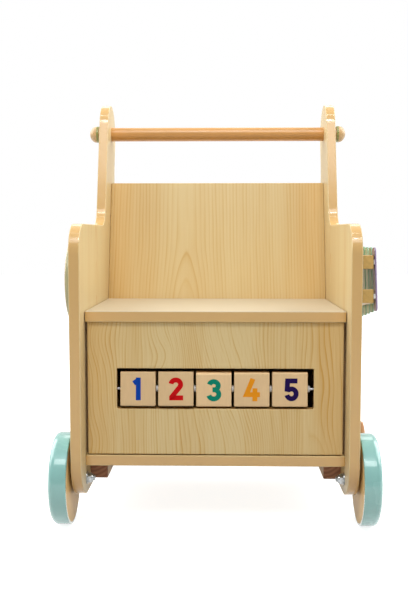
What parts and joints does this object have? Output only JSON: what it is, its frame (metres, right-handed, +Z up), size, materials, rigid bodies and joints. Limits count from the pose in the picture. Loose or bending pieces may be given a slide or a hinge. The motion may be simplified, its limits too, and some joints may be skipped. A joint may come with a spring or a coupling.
{
  "type": "baby walker",
  "caption": "Wooden push-along baby walker: bench-shaped box with lidded seat, rear handle, wheels, number blocks, xylophone with mallet and a turning disc.",
  "frame": {"origin": "middle of the bounding box on the floor that the wheels stand on", "axes": "+X to the xylophone's side, +Y to the rear, towards the handle, +Z up"},
  "size_m": [0.3698, 0.342, 0.5027],
  "materials": {
    "board_wood": "clear satin lacquer on light laminated board",
    "handle_wood": "clear lacquer on warm brown dowel",
    "knob_wood": "clear lacquer on brown turned wood",
    "wheel_wood": "clear lacquer",
    "tyre": "smooth, slightly glossy mint green",
    "hub_cap": "smooth mint green",
    "steel": "bright zinc plating",
    "spacer": "smooth white",
    "block_wood": "clear lacquer",
    "rail_wood": "lacquered",
    "felt": "white felt",
    "key_1": "satin purple paint",
    "key_2": "satin green paint",
    "key_3": "satin mint paint",
    "key_4": "satin yellow paint",
    "key_5": "satin orange paint",
    "key_6": "satin red paint",
    "mallet_wood": "clear lacquer on warm brown wood",
    "stick_wood": "clear lacquer",
    "rest_wood": "clear lacquer",
    "disc_paint": "sage green paint"
  },
  "bodies": {
    "walker": {"right_side_panel": "board_wood", "left_side_panel": "board_wood", "floor_board": "board_wood", "front_panel": "board_wood", "rear_panel": "board_wood", "backrest": "board_wood", "right_floor_cleat": "board_wood", "left_floor_cleat": "board_wood", "right_front_cleat": "board_wood", "left_front_cleat": "board_wood", "right_seat_cleat": "board_wood", "left_seat_cleat": "board_wood", "handle_rod": "handle_wood", "right_handle_knob": "knob_wood", "left_handle_knob": "knob_wood", "wheel_bolts": "steel", "axle_sleeves": "steel", "wheel_washers": "steel", "wheel_nuts": "steel", "board_screws": "steel", "seat_lid_pins": "steel", "block_rod": "steel", "xylophone_pins": "steel", "block_spacers": "spacer", "xylophone_upper_rail": "rail_wood", "xylophone_lower_rail": "rail_wood", "xylophone_felts": "felt", "xylophone_key_1": "key_1", "xylophone_key_2": "key_2", "xylophone_key_3": "key_3", "xylophone_key_4": "key_4", "xylophone_key_5": "key_5", "xylophone_key_6": "key_6", "mallet_rests": "rest_wood", "disc_pin": "stick_wood", "disc_cap": "stick_wood"},
    "front_left_roller": {"front_left_wheel": "wheel_wood", "front_left_tyre": "tyre", "front_left_hub_cap": "hub_cap"},
    "front_right_roller": {"front_right_wheel": "wheel_wood", "front_right_tyre": "tyre", "front_right_hub_cap": "hub_cap"},
    "rear_left_roller": {"rear_left_wheel": "wheel_wood", "rear_left_tyre": "tyre", "rear_left_hub_cap": "hub_cap"},
    "rear_right_roller": {"rear_right_wheel": "wheel_wood", "rear_right_tyre": "tyre", "rear_right_hub_cap": "hub_cap"},
    "block_1": {"number_block_1": "block_wood"},
    "block_2": {"number_block_2": "block_wood"},
    "block_3": {"number_block_3": "block_wood"},
    "block_4": {"number_block_4": "block_wood"},
    "block_5": {"number_block_5": "block_wood"},
    "seat": {"seat_lid": "board_wood"},
    "disc": {"activity_disc": "disc_paint"},
    "mallet": {"mallet_head": "mallet_wood", "mallet_stick": "stick_wood"}
  },
  "joints": [
    {"name": "front_left_wheel_turn", "type": "hinge", "parent": "walker", "child": "front_left_roller", "pos_m": [-0.1708, -0.11925, 0.05175], "axis": [1, 0, 0], "continuous": true},
    {"name": "front_right_wheel_turn", "type": "hinge", "parent": "walker", "child": "front_right_roller", "pos_m": [0.1708, -0.11925, 0.05175], "axis": [1, 0, 0], "continuous": true},
    {"name": "rear_left_wheel_turn", "type": "hinge", "parent": "walker", "child": "rear_left_roller", "pos_m": [-0.1708, 0.11925, 0.05175], "axis": [1, 0, 0], "continuous": true},
    {"name": "rear_right_wheel_turn", "type": "hinge", "parent": "walker", "child": "rear_right_roller", "pos_m": [0.1708, 0.11925, 0.05175], "axis": [1, 0, 0], "continuous": true},
    {"name": "block_1_flip", "type": "hinge", "parent": "walker", "child": "block_1", "pos_m": [-0.0864, -0.11725, 0.1539], "axis": [1, 0, 0], "continuous": true},
    {"name": "block_2_flip", "type": "hinge", "parent": "walker", "child": "block_2", "pos_m": [-0.04395, -0.11725, 0.1539], "axis": [1, 0, 0], "continuous": true},
    {"name": "block_3_flip", "type": "hinge", "parent": "walker", "child": "block_3", "pos_m": [-0.0015, -0.11725, 0.1539], "axis": [1, 0, 0], "continuous": true},
    {"name": "block_4_flip", "type": "hinge", "parent": "walker", "child": "block_4", "pos_m": [0.04095, -0.11725, 0.1539], "axis": [1, 0, 0], "continuous": true},
    {"name": "block_5_flip", "type": "hinge", "parent": "walker", "child": "block_5", "pos_m": [0.0834, -0.11725, 0.1539], "axis": [1, 0, 0], "continuous": true},
    {"name": "seat_lid_hinge", "type": "hinge", "parent": "walker", "child": "seat", "pos_m": [0, 0.07011, 0.2358], "axis": [-1, 0, 0], "range_deg": [0, 105]},
    {"name": "disc_turn", "type": "hinge", "parent": "walker", "child": "disc", "pos_m": [-0.16485, -0.06625, 0.2725], "axis": [1, 0, 0], "continuous": true},
    {"name": "mallet_lift", "type": "slide", "parent": "walker", "child": "mallet", "axis": [0, 0, 1], "range_m": [0, 0.06]}
  ]
}
